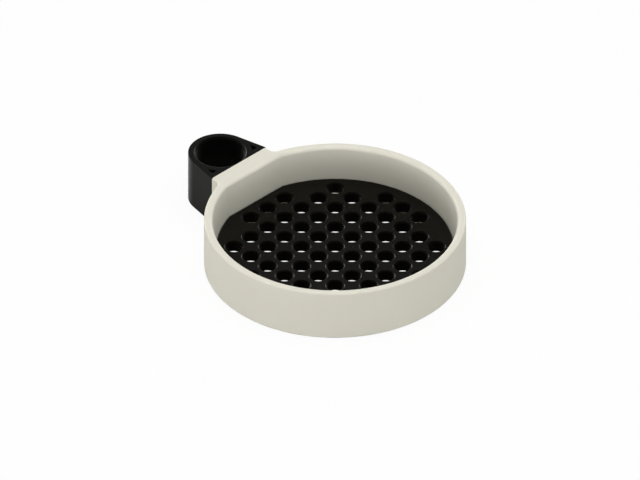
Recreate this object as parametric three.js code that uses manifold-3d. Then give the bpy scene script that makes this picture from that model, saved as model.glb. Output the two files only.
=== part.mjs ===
// Soap dish for a shower rail: a round dish with a ledge inside, a perforated drain tray that lies
// on the ledge, and a collar that goes over the rail and carries the dish on a dovetail tongue.
// Millimetres, +Z up. The origin is on the axis of the rail bore, level with the underside.
// The dish lies towards -Y, and the object is the same on both sides of the plane X = 0.

import * as THREE from "three";
import { mergeVertices, toCreasedNormals } from "three/addons/utils/BufferGeometryUtils.js";
import Module from "manifold-3d";

const wasm = await Module();
wasm.setup();

// Dish
const innerRadius = 50;
const wallThickness = 5;
const overallHeight = 23;
const rimInnerRound = 1.6;
const rimOuterRound = 1;
const footRound = 1;
const ledgeWidth = 5;
const ledgeThickness = 3.6;
const keyFlatDepth = 2.5; // how far the flat side of the bowl cuts into its circle
const bowlDraft = 1.5; // how far the bowl's wall leans out from the tray's top to the rim

// Pad on the back of the dish, where the collar lies against it
const padProud = 2;
const padWidth = 32;
const padBlend = 3;

// Drain tray
const trayThickness = 4.9;
const trayClearance = 0.2;
const trayEdgeRound = 1;
const holeDiameter = 7.2;
const holeWeb = 2.8; // least plastic between two holes, and between a hole and the tray's edge
const holeRound = 0.7;

// Collar
const railDiameter = 20;
const railClearance = 0.4;
const collarWall = 3.1;
const boreWeb = 0.7; // plastic between the bore and the pad's plane
const pocketWall = 2.2;
const boreRound = 1;

// Dovetail between the collar and the dish
const tongueRootWidth = 14;
const tongueTipWidth = 18;
const tongueDepth = 5;
const tongueLeadIn = 0.8;
const slideClearance = 0.25;
const slotRoof = 2; // plastic left above the blind slot, which rests on the tongue

// Facets
const circleSteps = 72;
const boreSteps = 48;
const holeSteps = 16;
const blendSteps = 3;
const rimSteps = 4;
const edgeSteps = 2;
const holeRoundSteps = 1;
const creaseAngle = THREE.MathUtils.degToRad(30);
const cutMargin = 1; // how far a cutting or joining solid runs past the face it meets

// Sizes that follow from the ones above, as distances from the dish's axis
const outerRadius = innerRadius + wallThickness;
const drainRadius = innerRadius - ledgeWidth;
const keyFlatDistance = innerRadius - keyFlatDepth;
const padFace = outerRadius + padProud;
const boreRadius = railDiameter / 2 + railClearance;
const boreDistance = padFace + boreWeb + boreRadius;
const collarRadius = boreRadius + collarWall;
const collarBase = padFace + slideClearance;
const trayRadius = innerRadius - trayClearance;
const trayFlatDistance = keyFlatDistance - trayClearance;
const slotHeight = overallHeight - slotRoof;

function arc(centreX, centreY, radius, startAngle, endAngle, steps) {
  const clockwise = endAngle < startAngle;
  return new THREE.EllipseCurve(centreX, centreY, radius, radius, startAngle, endAngle, clockwise).getPoints(steps);
}

// Circle with one flat side towards +Y, counter-clockwise from the flat's left end
function keyedRound(radius, flatDistance) {
  const flatEnd = Math.asin(flatDistance / radius);
  return arc(0, 0, radius, Math.PI - flatEnd, 2 * Math.PI + flatEnd, circleSteps);
}

// Outer wall of the dish with its pad, drawn in by inset everywhere but at the pad's face
function dishOutline(inset) {
  const radius = outerRadius - inset;
  const halfWidth = padWidth / 2 - inset;
  const blendRadius = padBlend + inset;
  const blendX = padWidth / 2 + padBlend;
  const blendY = Math.sqrt((outerRadius + padBlend) ** 2 - blendX ** 2);
  const meetAngle = Math.atan2(blendY, blendX);
  const leftBlend = arc(-blendX, blendY, blendRadius, 0, -meetAngle, blendSteps);
  const round = arc(0, 0, radius, Math.PI - meetAngle, 2 * Math.PI + meetAngle, circleSteps);
  const rightBlend = arc(blendX, blendY, blendRadius, Math.PI + meetAngle, Math.PI, blendSteps);
  const padCorners = [new THREE.Vector2(halfWidth, padFace), new THREE.Vector2(-halfWidth, padFace)];
  return [...padCorners, ...leftBlend, ...round.slice(1, -1), ...rightBlend];
}

// Tongue of the collar, or the slot for it, larger by growth all round
function tongueOutline(growth) {
  const root = tongueRootWidth / 2 + growth;
  const tip = tongueTipWidth / 2 + growth;
  const tipY = padFace - tongueDepth - growth;
  const farY = collarBase + cutMargin;
  const corners = [[root, farY], [-root, farY], [-root, padFace], [-tip, tipY], [tip, tipY], [root, padFace]];
  return corners.map(([x, y]) => new THREE.Vector2(x, y));
}

// Quarter round as steps of [drawn in, risen], from the side of an edge to its top
function quarterRound(radius, steps) {
  return Array.from({ length: steps + 1 }, (_, step) => {
    const angle = (step / steps) * (Math.PI / 2);
    return [radius * (1 - Math.cos(angle)), radius * Math.sin(angle)];
  });
}

function solid(geometry) {
  geometry.deleteAttribute("normal");
  geometry.deleteAttribute("uv");
  const merged = mergeVertices(geometry);
  const vertProperties = new Float32Array(merged.attributes.position.array);
  const triVerts = new Uint32Array(merged.index.array);
  return new wasm.Manifold(new wasm.Mesh({ numProp: 3, vertProperties, triVerts }));
}

// Closed solid through outlines of equal length, each [points, z], from the lowest to the highest
function loft(sections) {
  const count = sections[0][0].length;
  const positions = sections.flatMap(([points, z]) => points.flatMap((point) => [point.x, point.y, z]));
  const indices = [];
  const top = count * (sections.length - 1);
  for (let low = 0; low < top; low += count) {
    for (let i = 0; i < count; i += 1) {
      const next = (i + 1) % count;
      indices.push(low + i, low + next, low + count + next);
      indices.push(low + i, low + count + next, low + count + i);
    }
  }
  for (const [a, b, c] of THREE.ShapeUtils.triangulateShape(sections[0][0], [])) indices.push(c, b, a);
  for (const [a, b, c] of THREE.ShapeUtils.triangulateShape(sections.at(-1)[0], [])) {
    indices.push(top + a, top + b, top + c);
  }
  const geometry = new THREE.BufferGeometry();
  geometry.setAttribute("position", new THREE.Float32BufferAttribute(positions, 3));
  geometry.setIndex(indices);
  return solid(geometry);
}

function prism(outline, lowZ, highZ) {
  return loft([[outline, lowZ], [outline, highZ]]);
}

// Cutter for a hole through a plate, with its upper edge, and its lower one if asked, opened to a round
function holeCutter(radius, thickness, round, roundSteps, aroundSteps, bothEdges) {
  const upper = quarterRound(round, roundSteps).map(([out, rise]) => [radius + out, thickness - round + rise]);
  const lower = upper.map(([reach, height]) => [reach, thickness - height]).reverse();
  const wall = bothEdges ? [...lower, ...upper] : [[radius, 0], ...upper];
  const bottomReach = wall[0][0];
  const topReach = wall.at(-1)[0];
  const profile = [
    [0, -cutMargin],
    [bottomReach, -cutMargin],
    ...wall,
    [topReach, thickness + cutMargin],
    [0, thickness + cutMargin],
  ];
  const points = profile.map(([reach, height]) => new THREE.Vector2(reach, height));
  return solid(new THREE.LatheGeometry(points, aroundSteps).rotateX(Math.PI / 2));
}

function dishShell() {
  const foot = quarterRound(footRound, edgeSteps).reverse();
  const rim = quarterRound(rimOuterRound, rimSteps);
  const rimStart = overallHeight - rimOuterRound;
  const body = loft([
    ...foot.map(([inset, rise]) => [dishOutline(inset), footRound - rise]),
    ...rim.map(([inset, rise]) => [dishOutline(inset), rimStart + rise]),
  ]);
  const flare = quarterRound(rimInnerRound, rimSteps);
  const flareStart = overallHeight - rimInnerRound;
  const bowlOutline = (growth) => keyedRound(innerRadius + growth, keyFlatDistance + growth);
  const bowl = loft([
    [bowlOutline(0), ledgeThickness],
    [bowlOutline(0), ledgeThickness + trayThickness],
    ...flare.map(([out, rise]) => [bowlOutline(bowlDraft + out), flareStart + rise]),
    [bowlOutline(bowlDraft + rimInnerRound), overallHeight + cutMargin],
  ]);
  const drain = prism(arc(0, 0, drainRadius, 0, 2 * Math.PI, circleSteps).slice(1), -cutMargin, ledgeThickness + cutMargin);
  const slot = prism(tongueOutline(slideClearance), -cutMargin, slotHeight);
  return body.subtract(bowl).subtract(drain).subtract(slot);
}

// Square lattice of holes, centred on the dish's axis, wherever a whole hole keeps its web to the edge
function holeCentres() {
  const pitch = holeDiameter + holeWeb;
  const keepIn = holeDiameter / 2 + holeWeb;
  const reach = Math.floor(trayRadius / pitch);
  const centres = [];
  for (let column = -reach; column <= reach; column += 1) {
    for (let row = -reach; row <= reach; row += 1) {
      const centre = new THREE.Vector2(column, row).multiplyScalar(pitch);
      const inRound = centre.length() <= trayRadius - keepIn;
      const inFlat = centre.y <= trayFlatDistance - keepIn;
      if (inRound && inFlat) centres.push(centre);
    }
  }
  return centres;
}

function drainTray() {
  const edge = quarterRound(trayEdgeRound, edgeSteps);
  const edgeStart = trayThickness - trayEdgeRound;
  const plate = loft([
    [keyedRound(trayRadius, trayFlatDistance), 0],
    ...edge.map(([inset, rise]) => [keyedRound(trayRadius - inset, trayFlatDistance - inset), edgeStart + rise]),
  ]);
  const hole = holeCutter(holeDiameter / 2, trayThickness, holeRound, holeRoundSteps, holeSteps, false);
  const cutHole = (tray, centre) => tray.subtract(hole.translate([centre.x, centre.y, 0]));
  return holeCentres().reduce(cutHole, plate);
}

// Where a straight wall from the base corner (halfWidth, baseY) touches a circle round the bore
function tangentAngle(radius, halfWidth, baseY) {
  const corner = new THREE.Vector2(halfWidth, baseY - boreDistance);
  return Math.atan2(corner.y, corner.x) + Math.acos(radius / corner.length());
}

function collarOutline() {
  const halfWidth = padWidth / 2;
  const touch = tangentAngle(collarRadius, halfWidth, collarBase);
  const back = arc(0, boreDistance, collarRadius, touch, Math.PI - touch, boreSteps / 2);
  return [new THREE.Vector2(-halfWidth, collarBase), new THREE.Vector2(halfWidth, collarBase), ...back];
}

// Three-cornered opening between the ring, the straight side wall and the base, on the +X side
function pocketOutline() {
  const touch = tangentAngle(collarRadius, padWidth / 2, collarBase);
  const wallDistance = collarRadius - pocketWall; // from the bore's axis to the wall's inner face
  const floorY = collarBase + pocketWall;
  const floorDrop = floorY - boreDistance;
  const ringAtFloor = Math.asin(floorDrop / collarRadius);
  const ringAtWall = touch - Math.acos(wallDistance / collarRadius);
  const wallAtFloor = (wallDistance - floorDrop * Math.sin(touch)) / Math.cos(touch);
  const ringSide = arc(0, boreDistance, collarRadius, ringAtWall, ringAtFloor, blendSteps);
  return [...ringSide, new THREE.Vector2(wallAtFloor, floorY)];
}

function mirrored(outline) {
  return outline.map((point) => new THREE.Vector2(-point.x, point.y)).reverse();
}

function railCollar() {
  const body = prism(collarOutline(), 0, overallHeight);
  const leadStart = slotHeight - tongueLeadIn;
  const tongue = loft([
    [tongueOutline(0), 0],
    [tongueOutline(0), leadStart],
    [tongueOutline(-tongueLeadIn), slotHeight],
  ]);
  const bore = holeCutter(boreRadius, overallHeight, boreRound, edgeSteps, boreSteps, true);
  const pocket = pocketOutline();
  const pocketLow = -cutMargin;
  const pocketHigh = overallHeight + cutMargin;
  return body
    .add(tongue)
    .subtract(bore.translate([0, boreDistance, 0]))
    .subtract(prism(pocket, pocketLow, pocketHigh))
    .subtract(prism(mirrored(pocket), pocketLow, pocketHigh));
}

const ivoryPlastic = { color: "#e2dfd3", roughness: 0.5, metalness: 0 };
const blackPlastic = { color: "#1b1b19", roughness: 0.4, metalness: 0 };

function piece(name, shape, finish) {
  const mesh = shape.getMesh();
  const geometry = new THREE.BufferGeometry();
  geometry.setAttribute("position", new THREE.BufferAttribute(mesh.vertProperties, 3));
  geometry.setIndex(new THREE.BufferAttribute(mesh.triVerts, 1));
  const made = new THREE.Mesh(toCreasedNormals(geometry, creaseAngle), new THREE.MeshStandardMaterial(finish));
  made.name = name;
  return made;
}

const dish = piece("dish_shell", dishShell(), ivoryPlastic);
const tray = piece("drain_tray", drainTray(), blackPlastic);
const collar = piece("rail_collar", railCollar(), blackPlastic);
tray.position.z = ledgeThickness;

const aboutDishAxis = new THREE.Group();
aboutDishAxis.position.y = -boreDistance;
aboutDishAxis.add(dish, tray, collar);

const soapDish = new THREE.Group();
soapDish.add(aboutDishAxis);

export default soapDish;
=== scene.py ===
"""Looks of a soap dish for a shower rail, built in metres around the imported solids."""

import math

import bmesh
import bpy
from mathutils import Matrix, Vector


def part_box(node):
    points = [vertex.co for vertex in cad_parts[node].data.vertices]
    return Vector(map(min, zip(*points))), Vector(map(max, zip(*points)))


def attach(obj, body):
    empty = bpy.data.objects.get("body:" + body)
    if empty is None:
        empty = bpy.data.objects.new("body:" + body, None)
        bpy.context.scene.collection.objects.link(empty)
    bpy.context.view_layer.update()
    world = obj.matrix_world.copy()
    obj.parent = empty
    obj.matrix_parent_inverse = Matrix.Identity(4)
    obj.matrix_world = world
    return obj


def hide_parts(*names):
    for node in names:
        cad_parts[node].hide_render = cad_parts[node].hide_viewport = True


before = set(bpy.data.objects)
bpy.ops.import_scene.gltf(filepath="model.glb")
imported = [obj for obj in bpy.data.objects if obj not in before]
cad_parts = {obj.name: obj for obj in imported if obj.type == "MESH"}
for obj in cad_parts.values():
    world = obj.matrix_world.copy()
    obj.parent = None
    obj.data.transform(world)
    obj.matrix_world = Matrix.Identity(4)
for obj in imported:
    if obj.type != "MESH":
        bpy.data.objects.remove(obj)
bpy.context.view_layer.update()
dish_low, dish_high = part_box("dish_shell")
tray_low, tray_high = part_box("drain_tray")
collar_low, collar_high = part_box("rail_collar")

# Dish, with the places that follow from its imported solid
SHAVING = 0.000002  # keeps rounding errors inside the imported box
OUTER_RADIUS = (dish_high.x - dish_low.x) / 2 - SHAVING
DISH_AXIS = Vector((0, dish_low.y + OUTER_RADIUS + SHAVING, 0))
PAD_FACE_Y = dish_high.y
HEIGHT = dish_high.z
WALL = 0.005  # beside the tray; above it the bowl leans out
RIM_INNER_ROUND = 0.0016
RIM_OUTER_ROUND = 0.001
RIM_LAND = 0.0002  # flat left beside the inner round of the rim
FOOT_ROUND = 0.001
BOWL_DRAFT = 0.0015
KEY_FLAT_DEPTH = 0.0025
LEDGE_WIDTH = 0.005
LEDGE_Z = tray_low.z
INNER_RADIUS = OUTER_RADIUS - WALL
KEY_FLAT = INNER_RADIUS - KEY_FLAT_DEPTH
DRAIN_RADIUS = INNER_RADIUS - LEDGE_WIDTH
PAD_HALF_WIDTH = collar_high.x
PAD_BLEND = 0.003

# Drain tray
TRAY_RADIUS = (tray_high.x - tray_low.x) / 2
TRAY_FLAT = tray_high.y - DISH_AXIS.y
TRAY_TOP = tray_high.z
TRAY_EDGE_ROUND = 0.001
HOLE_RADIUS = 0.0036
HOLE_WEB = 0.0028
HOLE_ROUND = 0.0007

# Collar and its tongue
BORE_AXIS = Vector((0, 0, 0))
BORE_RADIUS = 0.0104
BORE_ROUND = 0.001
COLLAR_RADIUS = collar_high.y
SLIDE_CLEARANCE = 0.00025
COLLAR_BASE_Y = PAD_FACE_Y + SLIDE_CLEARANCE
COLLAR_EDGE_ROUND = 0.0002
POCKET_WALL = 0.0022
POCKET_CORNER_ROUND = 0.0003
TONGUE_ROOT = 0.007  # half widths
TONGUE_TIP = 0.009
TONGUE_TIP_Y = collar_low.y
TONGUE_LEAD_IN = 0.0008
SLOT_ROOF = 0.002
SLOT_TOP = HEIGHT - SLOT_ROOF

# Facets
ROUND_STEPS = 240
BLEND_STEPS = 12
HOLE_STEPS = 40
BORE_STEPS = 96
RIM_SEGMENTS = 8
EDGE_SEGMENTS = 5
MOUTH_SEGMENTS = 6
CHAMFER_SEGMENTS = 1
SHARP_ANGLE = math.radians(35)
CUT_MARGIN = 0.001
MOUTH_OVERLAP = 0.00001  # how far the round of a mouth's tool stands out of the plate
SAME_PLACE = 1e-6
UP = Vector((0, 0, 1))
ACROSS = Vector((0, 1, 0))

# Photograph
IMAGE_WIDTH = 640
IMAGE_HEIGHT = 480
PIXELS_PER_METRE = 2384
DISH_AXIS_PIXEL = (335.05, 262.97)  # the centre of the underside
VIEW_AZIMUTH = math.radians(-45)
VIEW_ELEVATION = math.atan(1 / math.sqrt(2))
CAMERA_DISTANCE = 0.8

# Floor and light
WHITE = (1, 1, 1, 1)
FLOOR_SIZE = 20
FLOOR_GAP = 0.0002  # keeps the floor out of the foot's plane
FLOOR_TONE = 0.5  # for the light that it throws back
FLOOR_IN_GLOSS = 0.95  # in reflections
UNDER_DISH_PAINTED_SHADE_IN_GLOSS = 0.25  # painted shade: the floor's tone in reflections, where the dish covers it
FLOOR_SEEN = 0.95  # to the eye
FLOOR_LIFT = 0.93  # share of plain white in what the eye sees
SKY_STRENGTH = 0.19
HORIZON_LEFT = 6.2  # light along the horizon on the left half of the view
HORIZON_RIGHT = 1.7  # what it falls to at the far right
GLOW_TOP_LEFT = 0.2  # sines of the heights at which that light has faded into the sky
GLOW_TOP_RIGHT = 0.4
SKY_IN_GLOSS = ((0.2, 1), (0.5, 0.25), (0.6, 0.25), (0.85, 0.02))  # sines of heights, and how bright
SKY_SEEN = 1
OVERHEAD_HEIGHT = 1.2
OVERHEAD_SIZE = 1.6
OVERHEAD_POWER = 14.2
CARD_DISTANCE = 1
CARD_HEIGHT = 0.42
CARD_WIDTH = 0.32
CARD_LENGTH = 0.4
CARDS = ((-15, 5), (-75, 3.4))  # bearing in degrees and power, left and right behind the dish

# Plastics: colour, roughness, gloss, sheen and their cast, then the grain of the mould
IVORY = (0.79, 0.77, 0.665, 1)
TRAY_BLACK = (0.0032, 0.0026, 0.0017, 1)
COLLAR_BLACK = (0.002, 0.002, 0.0018, 1)
IVORY_ROUGHNESS = 0.75
TRAY_ROUGHNESS = 0.3
COLLAR_ROUGHNESS = 0.35
IVORY_GLOSS = 0.12
TRAY_GLOSS = 0.1
COLLAR_GLOSS = 0.06
IVORY_SHEEN = 0
TRAY_SHEEN = 0.13
COLLAR_SHEEN = 0.2
SHEEN_ROUGHNESS = 0.3
IVORY_CAST = WHITE
BLACK_CAST = (1, 0.97, 0.88, 1)
CLOUD_SIZE = 0.03
CLOUD_DETAIL = 3
GRAIN_SIZE = 0.0004
GRAIN_DETAIL = 2
GRAIN_DEPTH = 0.00002
TONE_SPREAD = 0.015
ROUGHNESS_SPREAD = 0.08


# Outlines

def line_to(bm, vert, place):
    """Draws a straight edge from a vertex and returns its far end."""
    drawn = bmesh.ops.extrude_vert_indiv(bm, verts=[vert])["verts"][0]
    drawn.co = place
    return drawn


def turn_about(bm, vert, centre, angle, steps, axis):
    """Draws an arc from a vertex and returns its far end."""
    spun = bmesh.ops.spin(bm, geom=[vert], cent=centre, axis=axis, angle=angle, steps=steps)
    return spun["geom_last"][0]


def linked_wire(start):
    """Vertices and edges of the drawn line that a vertex belongs to."""
    verts = [start]
    edges = {}
    for vert in verts:
        for edge in vert.link_edges:
            if edge not in edges:
                edges[edge] = True
                verts.append(edge.other_vert(vert))
    return list(dict.fromkeys(verts)) + list(edges)


def close_face(bm, first, last):
    """Joins the two ends of a drawn outline and fills it with one face."""
    bmesh.ops.contextual_create(bm, geom=[first, last])
    loop = [part for part in linked_wire(first) if isinstance(part, bmesh.types.BMEdge)]
    return bmesh.ops.contextual_create(bm, geom=loop)["faces"][0]


def keyed_round(bm, radius, flat, z):
    """Face of a circle about the dish's axis, with one flat side towards the collar."""
    centre = DISH_AXIS + UP * z
    half = math.acos(flat / radius)
    first = bm.verts.new(centre + Vector((-radius * math.sin(half), flat, 0)))
    last = turn_about(bm, first, centre, 2 * (math.pi - half), ROUND_STEPS, UP)
    return close_face(bm, first, last)


def dish_outline(bm):
    """Face of the dish's foot: a circle that runs into the pad through two hollow blends."""
    blend_x = PAD_HALF_WIDTH + PAD_BLEND
    blend_reach = math.sqrt((OUTER_RADIUS + PAD_BLEND) ** 2 - blend_x**2)
    blend_y = DISH_AXIS.y + blend_reach
    meet = math.atan2(blend_reach, blend_x)
    first = bm.verts.new((-PAD_HALF_WIDTH, PAD_FACE_Y, 0))
    pen = line_to(bm, first, (-PAD_HALF_WIDTH, blend_y, 0))
    pen = turn_about(bm, pen, (-blend_x, blend_y, 0), -meet, BLEND_STEPS, UP)
    pen = turn_about(bm, pen, DISH_AXIS, math.pi + 2 * meet, ROUND_STEPS, UP)
    pen = turn_about(bm, pen, (blend_x, blend_y, 0), -meet, BLEND_STEPS, UP)
    pen = line_to(bm, pen, (PAD_HALF_WIDTH, PAD_FACE_Y, 0))
    return close_face(bm, first, pen)


def slot_outline(bm):
    """Face of the slot's section: the dovetail of the tongue with its clearance all round."""
    root = TONGUE_ROOT + SLIDE_CLEARANCE
    tip = TONGUE_TIP + SLIDE_CLEARANCE
    tip_y = TONGUE_TIP_Y - SLIDE_CLEARANCE
    open_y = PAD_FACE_Y + CUT_MARGIN
    corners = ((-root, PAD_FACE_Y), (-tip, tip_y), (tip, tip_y), (root, PAD_FACE_Y), (root, open_y))
    first = bm.verts.new((-root, open_y, -CUT_MARGIN))
    pen = first
    for x, y in corners:
        pen = line_to(bm, pen, (x, y, -CUT_MARGIN))
    return close_face(bm, first, pen)


def collar_touch():
    """Angle about the bore at which the collar's straight side runs into its ring."""
    corner_angle = math.atan2(COLLAR_BASE_Y, PAD_HALF_WIDTH)
    corner_distance = math.hypot(PAD_HALF_WIDTH, COLLAR_BASE_Y)
    return corner_angle + math.acos(COLLAR_RADIUS / corner_distance)


def collar_outline(bm):
    """Face of the collar's underside: a ring's outline with straight sides down to its base."""
    touch = collar_touch()
    first = bm.verts.new((-PAD_HALF_WIDTH, COLLAR_BASE_Y, 0))
    pen = first
    for x in (-TONGUE_ROOT, TONGUE_ROOT, PAD_HALF_WIDTH):
        pen = line_to(bm, pen, (x, COLLAR_BASE_Y, 0))
    pen = line_to(bm, pen, (COLLAR_RADIUS * math.cos(touch), COLLAR_RADIUS * math.sin(touch), 0))
    pen = turn_about(bm, pen, BORE_AXIS, math.pi - 2 * touch, BORE_STEPS, UP)
    return close_face(bm, first, pen)


def pocket_outline(bm, side):
    """Face of the opening between the ring, the straight side wall and the base of the collar."""
    wall_distance = COLLAR_RADIUS - POCKET_WALL
    floor_y = COLLAR_BASE_Y + POCKET_WALL
    touch = collar_touch()
    at_floor = math.asin(floor_y / COLLAR_RADIUS)
    at_wall = touch - math.acos(wall_distance / COLLAR_RADIUS)
    corner_x = (wall_distance - floor_y * math.sin(touch)) / math.cos(touch)
    depth = BORE_AXIS - UP * CUT_MARGIN
    first = bm.verts.new(depth + COLLAR_RADIUS * Vector((side * math.cos(at_wall), math.sin(at_wall), 0)))
    pen = turn_about(bm, first, depth, side * (at_floor - at_wall), BLEND_STEPS, UP)
    pen = line_to(bm, pen, depth + Vector((side * corner_x, floor_y, 0)))
    return close_face(bm, first, pen)


# Meshes

def grow_face(bm, face):
    """Extrudes a face without moving it and returns the new face."""
    grown = bmesh.ops.extrude_face_region(bm, geom=[face, *face.edges, *face.verts])["geom"]
    return next(part for part in grown if isinstance(part, bmesh.types.BMFace))


def raise_face(bm, face, rise):
    """Extrudes a face straight up or down and returns the moved face."""
    moved = grow_face(bm, face)
    bmesh.ops.translate(bm, verts=moved.verts, vec=UP * rise)
    return moved


def draw_in(bm, face, inset, rise):
    """Insets a face evenly, moves it up or down and returns it."""
    bmesh.ops.inset_region(bm, faces=[face], thickness=inset, use_even_offset=True, use_boundary=True)
    bmesh.ops.translate(bm, verts=face.verts, vec=UP * rise)
    return face


def at_level(edge, z):
    return all(abs(vert.co.z - z) < SAME_PLACE for vert in edge.verts)


def on_face_y(edge, y):
    return all(abs(vert.co.y - y) < SAME_PLACE for vert in edge.verts)


def lies_at(face, z):
    return all(at_level(edge, z) for edge in face.edges)


def round_edges(bm, edges, radius, segments):
    bmesh.ops.bevel(
        bm, geom=edges, offset=radius, offset_type="OFFSET", affect="EDGES",
        segments=segments, profile=0.5, material=-1, clamp_overlap=False,
    )


def round_outline(bm, z, flush_y, radius, segments):
    """Rounds the edges of a prism's outline at one height, apart from those on its flush face."""
    outline = [edge for edge in bm.edges if at_level(edge, z) and not on_face_y(edge, flush_y)]
    round_edges(bm, outline, radius, segments)


def fill_level(bm, z):
    """Fills the flat space between the open loops at one height."""
    loops = [edge for edge in bm.edges if edge.is_boundary and at_level(edge, z)]
    bmesh.ops.triangle_fill(bm, edges=loops, use_beauty=True, normal=UP)


def mesh_object(bm, name):
    """Merges a mesh's doubles, turns its faces outward and makes it an object."""
    bmesh.ops.remove_doubles(bm, verts=bm.verts, dist=SAME_PLACE)
    bmesh.ops.recalc_face_normals(bm, faces=bm.faces)
    mesh = bpy.data.meshes.new(name)
    bm.to_mesh(mesh)
    bm.free()
    made = bpy.data.objects.new(name, mesh)
    bpy.context.scene.collection.objects.link(made)
    return made


def cut_away(piece, cutter):
    """Takes the cutter's solid out of the piece and deletes the cutter."""
    cut = piece.modifiers.new("cut", "BOOLEAN")
    cut.operation = "DIFFERENCE"
    cut.solver = "EXACT"
    cut.object = cutter
    carved = piece.evaluated_get(bpy.context.evaluated_depsgraph_get())
    uncut = piece.data
    piece.data = bpy.data.meshes.new_from_object(carved)
    piece.modifiers.clear()
    bpy.data.meshes.remove(uncut)
    bpy.data.objects.remove(cutter)


def round_cutter(centre, radius, low, high, flare, flared_below, steps):
    """Tool for a round hole through a plate, with its upper mouth, or both, opened to a round."""
    bm = bmesh.new()
    mouth = radius + flare
    quarter = math.pi / 2
    axis_foot = bm.verts.new(centre + Vector((0, 0, low - CUT_MARGIN)))
    if flared_below:
        pen = line_to(bm, axis_foot, centre + Vector((mouth, 0, low - CUT_MARGIN)))
        pen = line_to(bm, pen, centre + Vector((mouth, 0, low - MOUTH_OVERLAP)))
        pen = turn_about(bm, pen, pen.co + UP * flare, quarter, MOUTH_SEGMENTS, ACROSS)
    else:
        pen = line_to(bm, axis_foot, centre + Vector((radius, 0, low - CUT_MARGIN)))
    pen = line_to(bm, pen, centre + Vector((radius, 0, high - flare + MOUTH_OVERLAP)))
    pen = turn_about(bm, pen, pen.co + Vector((flare, 0, 0)), quarter, MOUTH_SEGMENTS, ACROSS)
    pen = line_to(bm, pen, centre + Vector((mouth, 0, high + CUT_MARGIN)))
    line_to(bm, pen, centre + Vector((0, 0, high + CUT_MARGIN)))
    profile = linked_wire(axis_foot)
    bmesh.ops.spin(bm, geom=profile, cent=centre, axis=UP, angle=2 * math.pi, steps=steps, use_merge=True)
    return mesh_object(bm, "round_cutter")


def shade(piece):
    """Smooth rounds, crisp corners and flat faces that stay flat."""
    piece.data.shade_smooth()
    piece.data.set_sharp_from_angle(angle=SHARP_ANGLE)
    weighted = piece.modifiers.new("flat faces lead", "WEIGHTED_NORMAL")
    weighted.keep_sharp = True


# Pieces

def make_dish():
    bm = bmesh.new()
    raise_face(bm, dish_outline(bm), HEIGHT)
    round_outline(bm, HEIGHT, PAD_FACE_Y, RIM_OUTER_ROUND, RIM_SEGMENTS)
    round_outline(bm, 0, PAD_FACE_Y, FOOT_ROUND, EDGE_SEGMENTS)
    ends = [face for face in bm.faces if lies_at(face, 0) or lies_at(face, HEIGHT)]
    bmesh.ops.delete(bm, geom=ends, context="FACES_ONLY")

    lip = RIM_INNER_ROUND + RIM_LAND
    mouth = keyed_round(bm, INNER_RADIUS + BOWL_DRAFT + lip, KEY_FLAT + BOWL_DRAFT + lip, HEIGHT)
    draw_in(bm, mouth, lip, 0)
    lip_edges = list(mouth.edges)
    draw_in(bm, mouth, BOWL_DRAFT, TRAY_TOP - HEIGHT)
    seat = raise_face(bm, mouth, LEDGE_Z - TRAY_TOP)
    bmesh.ops.delete(bm, geom=[seat], context="FACES_ONLY")
    round_edges(bm, lip_edges, RIM_INNER_ROUND, RIM_SEGMENTS)

    place = Matrix.Translation(DISH_AXIS + UP * LEDGE_Z)
    circle = bmesh.ops.create_circle(bm, segments=ROUND_STEPS, radius=DRAIN_RADIUS, matrix=place)["verts"]
    drain = list({edge for vert in circle for edge in vert.link_edges})
    lowered = bmesh.ops.extrude_edge_only(bm, edges=drain)["geom"]
    foot = [part for part in lowered if isinstance(part, bmesh.types.BMVert)]
    bmesh.ops.translate(bm, verts=foot, vec=-UP * LEDGE_Z)
    for z in (HEIGHT, LEDGE_Z, 0):
        fill_level(bm, z)
    dish = mesh_object(bm, "dish")

    slot = bmesh.new()
    raise_face(slot, slot_outline(slot), SLOT_TOP + CUT_MARGIN)
    cut_away(dish, mesh_object(slot, "slot_cutter"))
    return dish


def hole_offsets():
    """Square lattice about the dish's axis, wherever a whole hole keeps its web to the tray's edge."""
    pitch = 2 * HOLE_RADIUS + HOLE_WEB
    keep_in = HOLE_RADIUS + HOLE_WEB - SAME_PLACE
    reach = int(TRAY_RADIUS / pitch)
    steps = range(-reach, reach + 1)
    lattice = [Vector((column * pitch, row * pitch, 0)) for column in steps for row in steps]
    in_round = [offset for offset in lattice if offset.length <= TRAY_RADIUS - keep_in]
    return [offset for offset in in_round if offset.y <= TRAY_FLAT - keep_in]


def make_tray():
    bm = bmesh.new()
    base = keyed_round(bm, TRAY_RADIUS, TRAY_FLAT, LEDGE_Z)
    top = raise_face(bm, base, TRAY_TOP - LEDGE_Z)
    round_edges(bm, list(top.edges), TRAY_EDGE_ROUND, EDGE_SEGMENTS)
    tray = mesh_object(bm, "tray")

    tool = round_cutter(DISH_AXIS, HOLE_RADIUS, LEDGE_Z, TRAY_TOP, HOLE_ROUND, False, HOLE_STEPS)
    holes = bmesh.new()
    for offset in hole_offsets():
        known = len(holes.verts)
        holes.from_mesh(tool.data)
        holes.verts.ensure_lookup_table()
        bmesh.ops.translate(holes, verts=holes.verts[known:], vec=offset)
    bpy.data.objects.remove(tool)
    cut_away(tray, mesh_object(holes, "hole_cutters"))
    return tray


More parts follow.
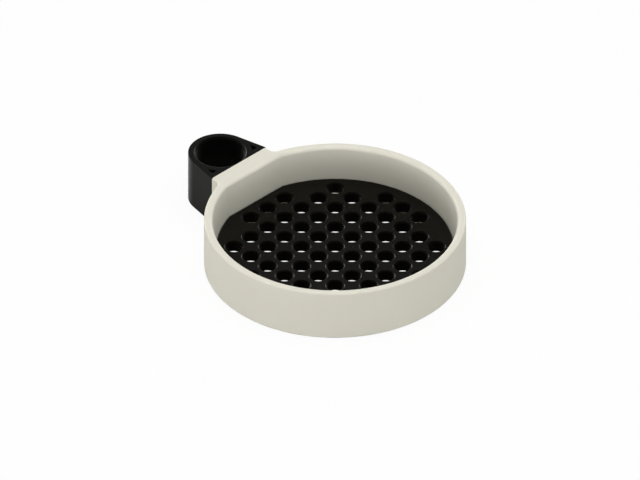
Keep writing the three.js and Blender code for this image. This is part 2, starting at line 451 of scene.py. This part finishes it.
def make_collar():
    bm = bmesh.new()
    shoulder = raise_face(bm, collar_outline(bm), SLOT_TOP)
    raise_face(bm, shoulder, SLOT_ROOF)
    base = [face for face in bm.faces if all(on_face_y(edge, COLLAR_BASE_Y) for edge in face.edges)]
    middle = [face for face in base if abs(face.calc_center_median().x) < SAME_PLACE]
    root = min(middle, key=lambda face: face.calc_center_median().z)
    for y, widening in ((PAD_FACE_Y, 1), (TONGUE_TIP_Y, TONGUE_TIP / TONGUE_ROOT)):
        root = grow_face(bm, root)
        bmesh.ops.translate(bm, verts=root.verts, vec=ACROSS * (y - root.verts[0].co.y))
        bmesh.ops.scale(bm, verts=root.verts, vec=(widening, 1, 1))
    tongue_top = [edge for edge in bm.edges if at_level(edge, SLOT_TOP)]
    lead_in = [edge for edge in tongue_top if min(vert.co.y for vert in edge.verts) < PAD_FACE_Y]
    round_edges(bm, lead_in, TONGUE_LEAD_IN, CHAMFER_SEGMENTS)
    round_outline(bm, HEIGHT, COLLAR_BASE_Y, COLLAR_EDGE_ROUND, EDGE_SEGMENTS)
    collar = mesh_object(bm, "collar")

    cut_away(collar, round_cutter(BORE_AXIS, BORE_RADIUS, 0, HEIGHT, BORE_ROUND, True, BORE_STEPS))
    for side in (1, -1):
        pocket = bmesh.new()
        raise_face(pocket, pocket_outline(pocket, side), HEIGHT + 2 * CUT_MARGIN)
        upright = [edge for edge in pocket.edges if edge.verts[0].co.xy == edge.verts[1].co.xy]
        corners = [edge for edge in upright if edge.calc_face_angle() > SHARP_ANGLE]
        round_edges(pocket, corners, POCKET_CORNER_ROUND, EDGE_SEGMENTS)
        cut_away(collar, mesh_object(pocket, "pocket_cutter"))
    return collar


# Plastics

def ramp(tree, source, low, high, at_low, at_high):
    """Socket that runs from one value to another while its source goes from low to high."""
    node = tree.nodes.new("ShaderNodeMapRange")
    for name, value in (("From Min", low), ("From Max", high), ("To Min", at_low), ("To Max", at_high)):
        if isinstance(value, bpy.types.NodeSocket):
            tree.links.new(value, node.inputs[name])
        else:
            node.inputs[name].default_value = value
    tree.links.new(source, node.inputs["Value"])
    return node.outputs["Result"]


def noise(tree, place, size, detail):
    """Socket with a cloudy pattern of the given size, about a half in the mean."""
    node = tree.nodes.new("ShaderNodeTexNoise")
    node.inputs["Scale"].default_value = 1 / size
    node.inputs["Detail"].default_value = detail
    tree.links.new(place, node.inputs["Vector"])
    return node.outputs["Fac"]


def make_mould_grain():
    """Shared effect: cloudy tone, uneven gloss and the fine grain of a mould's wall."""
    group = bpy.data.node_groups.new("mould_grain", "ShaderNodeTree")
    sockets = group.interface
    sockets.new_socket("Coordinates", in_out="INPUT", socket_type="NodeSocketVector")
    sockets.new_socket("Colour", in_out="INPUT", socket_type="NodeSocketColor")
    sockets.new_socket("Roughness", in_out="INPUT", socket_type="NodeSocketFloat")
    sockets.new_socket("Colour", in_out="OUTPUT", socket_type="NodeSocketColor")
    sockets.new_socket("Roughness", in_out="OUTPUT", socket_type="NodeSocketFloat")
    sockets.new_socket("Normal", in_out="OUTPUT", socket_type="NodeSocketVector")
    source = group.nodes.new("NodeGroupInput")
    result = group.nodes.new("NodeGroupOutput")
    link = group.links.new

    cloud = noise(group, source.outputs["Coordinates"], CLOUD_SIZE, CLOUD_DETAIL)
    grain = noise(group, source.outputs["Coordinates"], GRAIN_SIZE, GRAIN_DETAIL)

    tint = group.nodes.new("ShaderNodeVectorMath")
    tint.operation = "SCALE"
    link(source.outputs["Colour"], tint.inputs["Vector"])
    link(ramp(group, cloud, 0, 1, 1 - TONE_SPREAD, 1 + TONE_SPREAD), tint.inputs["Scale"])
    link(tint.outputs["Vector"], result.inputs["Colour"])

    uneven = group.nodes.new("ShaderNodeMath")
    uneven.operation = "ADD"
    link(source.outputs["Roughness"], uneven.inputs[0])
    link(ramp(group, grain, 0, 1, -ROUGHNESS_SPREAD, ROUGHNESS_SPREAD), uneven.inputs[1])
    link(uneven.outputs["Value"], result.inputs["Roughness"])

    bump = group.nodes.new("ShaderNodeBump")
    bump.inputs["Distance"].default_value = GRAIN_DEPTH
    link(grain, bump.inputs["Height"])
    link(bump.outputs["Normal"], result.inputs["Normal"])
    return group


def plastic(name, mould_grain, colour, roughness, gloss, sheen, cast):
    """One of the plastics, with the grain of its mould."""
    material = bpy.data.materials.new(name)
    material.use_nodes = True
    tree = material.node_tree
    surface = tree.nodes["Principled BSDF"]
    surface.inputs["Specular IOR Level"].default_value = gloss
    surface.inputs["Specular Tint"].default_value = cast
    surface.inputs["Sheen Weight"].default_value = sheen
    surface.inputs["Sheen Roughness"].default_value = SHEEN_ROUGHNESS
    surface.inputs["Sheen Tint"].default_value = cast
    place = tree.nodes.new("ShaderNodeTexCoord")
    grain = tree.nodes.new("ShaderNodeGroup")
    grain.node_tree = mould_grain
    grain.inputs["Colour"].default_value = colour
    grain.inputs["Roughness"].default_value = roughness
    tree.links.new(place.outputs["Object"], grain.inputs["Coordinates"])
    tree.links.new(grain.outputs["Colour"], surface.inputs["Base Color"])
    tree.links.new(grain.outputs["Roughness"], surface.inputs["Roughness"])
    tree.links.new(grain.outputs["Normal"], surface.inputs["Normal"])
    return material


# Camera, floor and light

def make_camera():
    back = Vector((
        math.sin(VIEW_AZIMUTH) * math.cos(VIEW_ELEVATION),
        -math.cos(VIEW_AZIMUTH) * math.cos(VIEW_ELEVATION),
        math.sin(VIEW_ELEVATION),
    ))
    facing = (-back).to_track_quat("-Z", "Y")
    right = facing @ Vector((1, 0, 0))
    above = facing @ Vector((0, 1, 0))
    shift_right = (IMAGE_WIDTH / 2 - DISH_AXIS_PIXEL[0]) / PIXELS_PER_METRE
    shift_up = (DISH_AXIS_PIXEL[1] - IMAGE_HEIGHT / 2) / PIXELS_PER_METRE
    camera = bpy.data.objects.new("camera", bpy.data.cameras.new("camera"))
    camera.data.type = "ORTHO"
    camera.data.ortho_scale = IMAGE_WIDTH / PIXELS_PER_METRE
    camera.location = DISH_AXIS + right * shift_right + above * shift_up + back * CAMERA_DISTANCE
    camera.rotation_mode = "QUATERNION"
    camera.rotation_quaternion = facing
    bpy.context.scene.collection.objects.link(camera)
    bpy.context.scene.camera = camera


def constant(tree, value):
    node = tree.nodes.new("ShaderNodeValue")
    node.outputs["Value"].default_value = value
    return node.outputs["Value"]


def by_ray(tree, plain, in_gloss, seen):
    """Socket with a value for reflections, one for the eye, also through glass, and one for all else."""
    path = tree.nodes.new("ShaderNodeLightPath")
    result = plain
    rays = {"Is Glossy Ray": in_gloss, "Is Transmission Ray": seen, "Is Camera Ray": seen}
    for ray, value in rays.items():
        choice = tree.nodes.new("ShaderNodeMix")
        tree.links.new(path.outputs[ray], choice.inputs["Factor"])
        tree.links.new(result, choice.inputs["A"])
        tree.links.new(value, choice.inputs["B"])
        result = choice.outputs["Result"]
    return result


def floor_tone_with_painted_shade(tree, geometry):
    """Socket with the tone of the floor, with painted shade under the dish in reflections."""
    from_axis = tree.nodes.new("ShaderNodeVectorMath")
    from_axis.operation = "DISTANCE"
    from_axis.inputs[1].default_value = DISH_AXIS
    tree.links.new(geometry.outputs["Position"], from_axis.inputs[0])
    # painted shade: in reflections the floor is darker under the dish, towards its axis
    in_gloss = ramp(
        tree, from_axis.outputs["Value"], DRAIN_RADIUS, OUTER_RADIUS, UNDER_DISH_PAINTED_SHADE_IN_GLOSS, FLOOR_IN_GLOSS,
    )
    return by_ray(tree, constant(tree, FLOOR_TONE), in_gloss, constant(tree, FLOOR_SEEN))


def make_floor():
    """Pale floor, almost plain white to the eye and clear from below, with the dish's shadow on it and
    painted shade under the dish in reflections.
    """
    bm = bmesh.new()
    place = Matrix.Translation(-UP * FLOOR_GAP)
    bmesh.ops.create_grid(bm, x_segments=1, y_segments=1, size=FLOOR_SIZE / 2, matrix=place)
    floor = mesh_object(bm, "floor")
    material = bpy.data.materials.new("floor_white")
    material.use_nodes = True
    tree = material.node_tree
    tree.nodes.clear()
    path = tree.nodes.new("ShaderNodeLightPath")
    geometry = tree.nodes.new("ShaderNodeNewGeometry")
    lit = tree.nodes.new("ShaderNodeBsdfDiffuse")
    plain_white = tree.nodes.new("ShaderNodeEmission")
    from_above = tree.nodes.new("ShaderNodeMixShader")
    from_below = tree.nodes.new("ShaderNodeBsdfTransparent")
    both_sides = tree.nodes.new("ShaderNodeMixShader")
    out = tree.nodes.new("ShaderNodeOutputMaterial")
    link = tree.links.new
    link(floor_tone_with_painted_shade(tree, geometry), lit.inputs["Color"])
    link(ramp(tree, path.outputs["Is Camera Ray"], 0, 1, 0, FLOOR_LIFT), from_above.inputs["Fac"])
    link(lit.outputs["BSDF"], from_above.inputs[1])
    link(plain_white.outputs["Emission"], from_above.inputs[2])
    link(geometry.outputs["Backfacing"], both_sides.inputs["Fac"])
    link(from_above.outputs["Shader"], both_sides.inputs[1])
    link(from_below.outputs["BSDF"], both_sides.inputs[2])
    link(both_sides.outputs["Shader"], out.inputs["Surface"])
    floor.data.materials.append(material)


def make_world():
    """Soft sky with a glow along the horizon: white to the eye, and dark overhead in reflections."""
    world = bpy.data.worlds.new("studio")
    world.use_nodes = True
    tree = world.node_tree
    direction = tree.nodes.new("ShaderNodeTexCoord")
    height = tree.nodes.new("ShaderNodeSeparateXYZ")
    tree.links.new(direction.outputs["Generated"], height.inputs["Vector"])
    rightward = tree.nodes.new("ShaderNodeVectorMath")
    rightward.operation = "DOT_PRODUCT"
    rightward.inputs[1].default_value = (math.cos(VIEW_AZIMUTH), math.sin(VIEW_AZIMUTH), 0)
    tree.links.new(direction.outputs["Generated"], rightward.inputs[0])
    horizon = ramp(tree, rightward.outputs["Value"], 0, 1, HORIZON_LEFT, HORIZON_RIGHT)
    glow_top = ramp(tree, rightward.outputs["Value"], 0, 1, GLOW_TOP_LEFT, GLOW_TOP_RIGHT)
    light = ramp(tree, height.outputs["Z"], 0, glow_top, horizon, SKY_STRENGTH)
    in_gloss = tree.nodes.new("ShaderNodeValToRGB")
    bands = in_gloss.color_ramp.elements
    while len(bands) < len(SKY_IN_GLOSS):
        bands.new(1)
    for band, (place, tone) in zip(bands, SKY_IN_GLOSS):
        band.position = place
        band.color = (tone, tone, tone, 1)
    tree.links.new(height.outputs["Z"], in_gloss.inputs["Fac"])
    sky = tree.nodes["Background"]
    sky.inputs["Color"].default_value = WHITE
    strength = by_ray(tree, light, in_gloss.outputs["Color"], constant(tree, SKY_SEEN))
    tree.links.new(strength, sky.inputs["Strength"])
    bpy.context.scene.world = world


def softbox(name, place, width, length, power):
    """Soft light that faces the dish."""
    light = bpy.data.lights.new(name, "AREA")
    light.shape = "RECTANGLE"
    light.size = width
    light.size_y = length
    light.energy = power
    lamp = bpy.data.objects.new(name, light)
    lamp.location = place
    lamp.rotation_mode = "QUATERNION"
    lamp.rotation_quaternion = (DISH_AXIS - place).to_track_quat("-Z", "Y")
    bpy.context.scene.collection.objects.link(lamp)
    return lamp


def make_lights():
    """Light from above that no reflection shows, and two cards that only reflections show."""
    above = DISH_AXIS + UP * OVERHEAD_HEIGHT
    overhead = softbox("overhead", above, OVERHEAD_SIZE, OVERHEAD_SIZE, OVERHEAD_POWER)
    overhead.visible_glossy = False
    for bearing, power in CARDS:
        turn = math.radians(bearing)
        away = Vector((-math.sin(turn), math.cos(turn), 0))
        place = DISH_AXIS + away * CARD_DISTANCE + UP * CARD_HEIGHT
        card = softbox("card", place, CARD_WIDTH, CARD_LENGTH, power)
        card.visible_diffuse = False


make_camera()
make_floor()
make_world()
make_lights()

mould_grain = make_mould_grain()
ivory = plastic("ivory", mould_grain, IVORY, IVORY_ROUGHNESS, IVORY_GLOSS, IVORY_SHEEN, IVORY_CAST)
tray_black = plastic(
    "tray_black", mould_grain, TRAY_BLACK, TRAY_ROUGHNESS, TRAY_GLOSS, TRAY_SHEEN, BLACK_CAST,
)
collar_black = plastic(
    "collar_black", mould_grain, COLLAR_BLACK, COLLAR_ROUGHNESS, COLLAR_GLOSS, COLLAR_SHEEN, BLACK_CAST,
)
for piece, finish, node, body, slot in (
    (make_dish(), ivory, "dish_shell", "dish", "ivory_plastic"),
    (make_tray(), tray_black, "drain_tray", "tray", "tray_black_plastic"),
    (make_collar(), collar_black, "rail_collar", "collar", "collar_black_plastic"),
):
    shade(piece)
    piece.data.materials.clear()
    piece.data.materials.append(finish)
    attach(piece, body)
    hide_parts(node)

bpy.context.scene.view_settings.view_transform = "Standard"
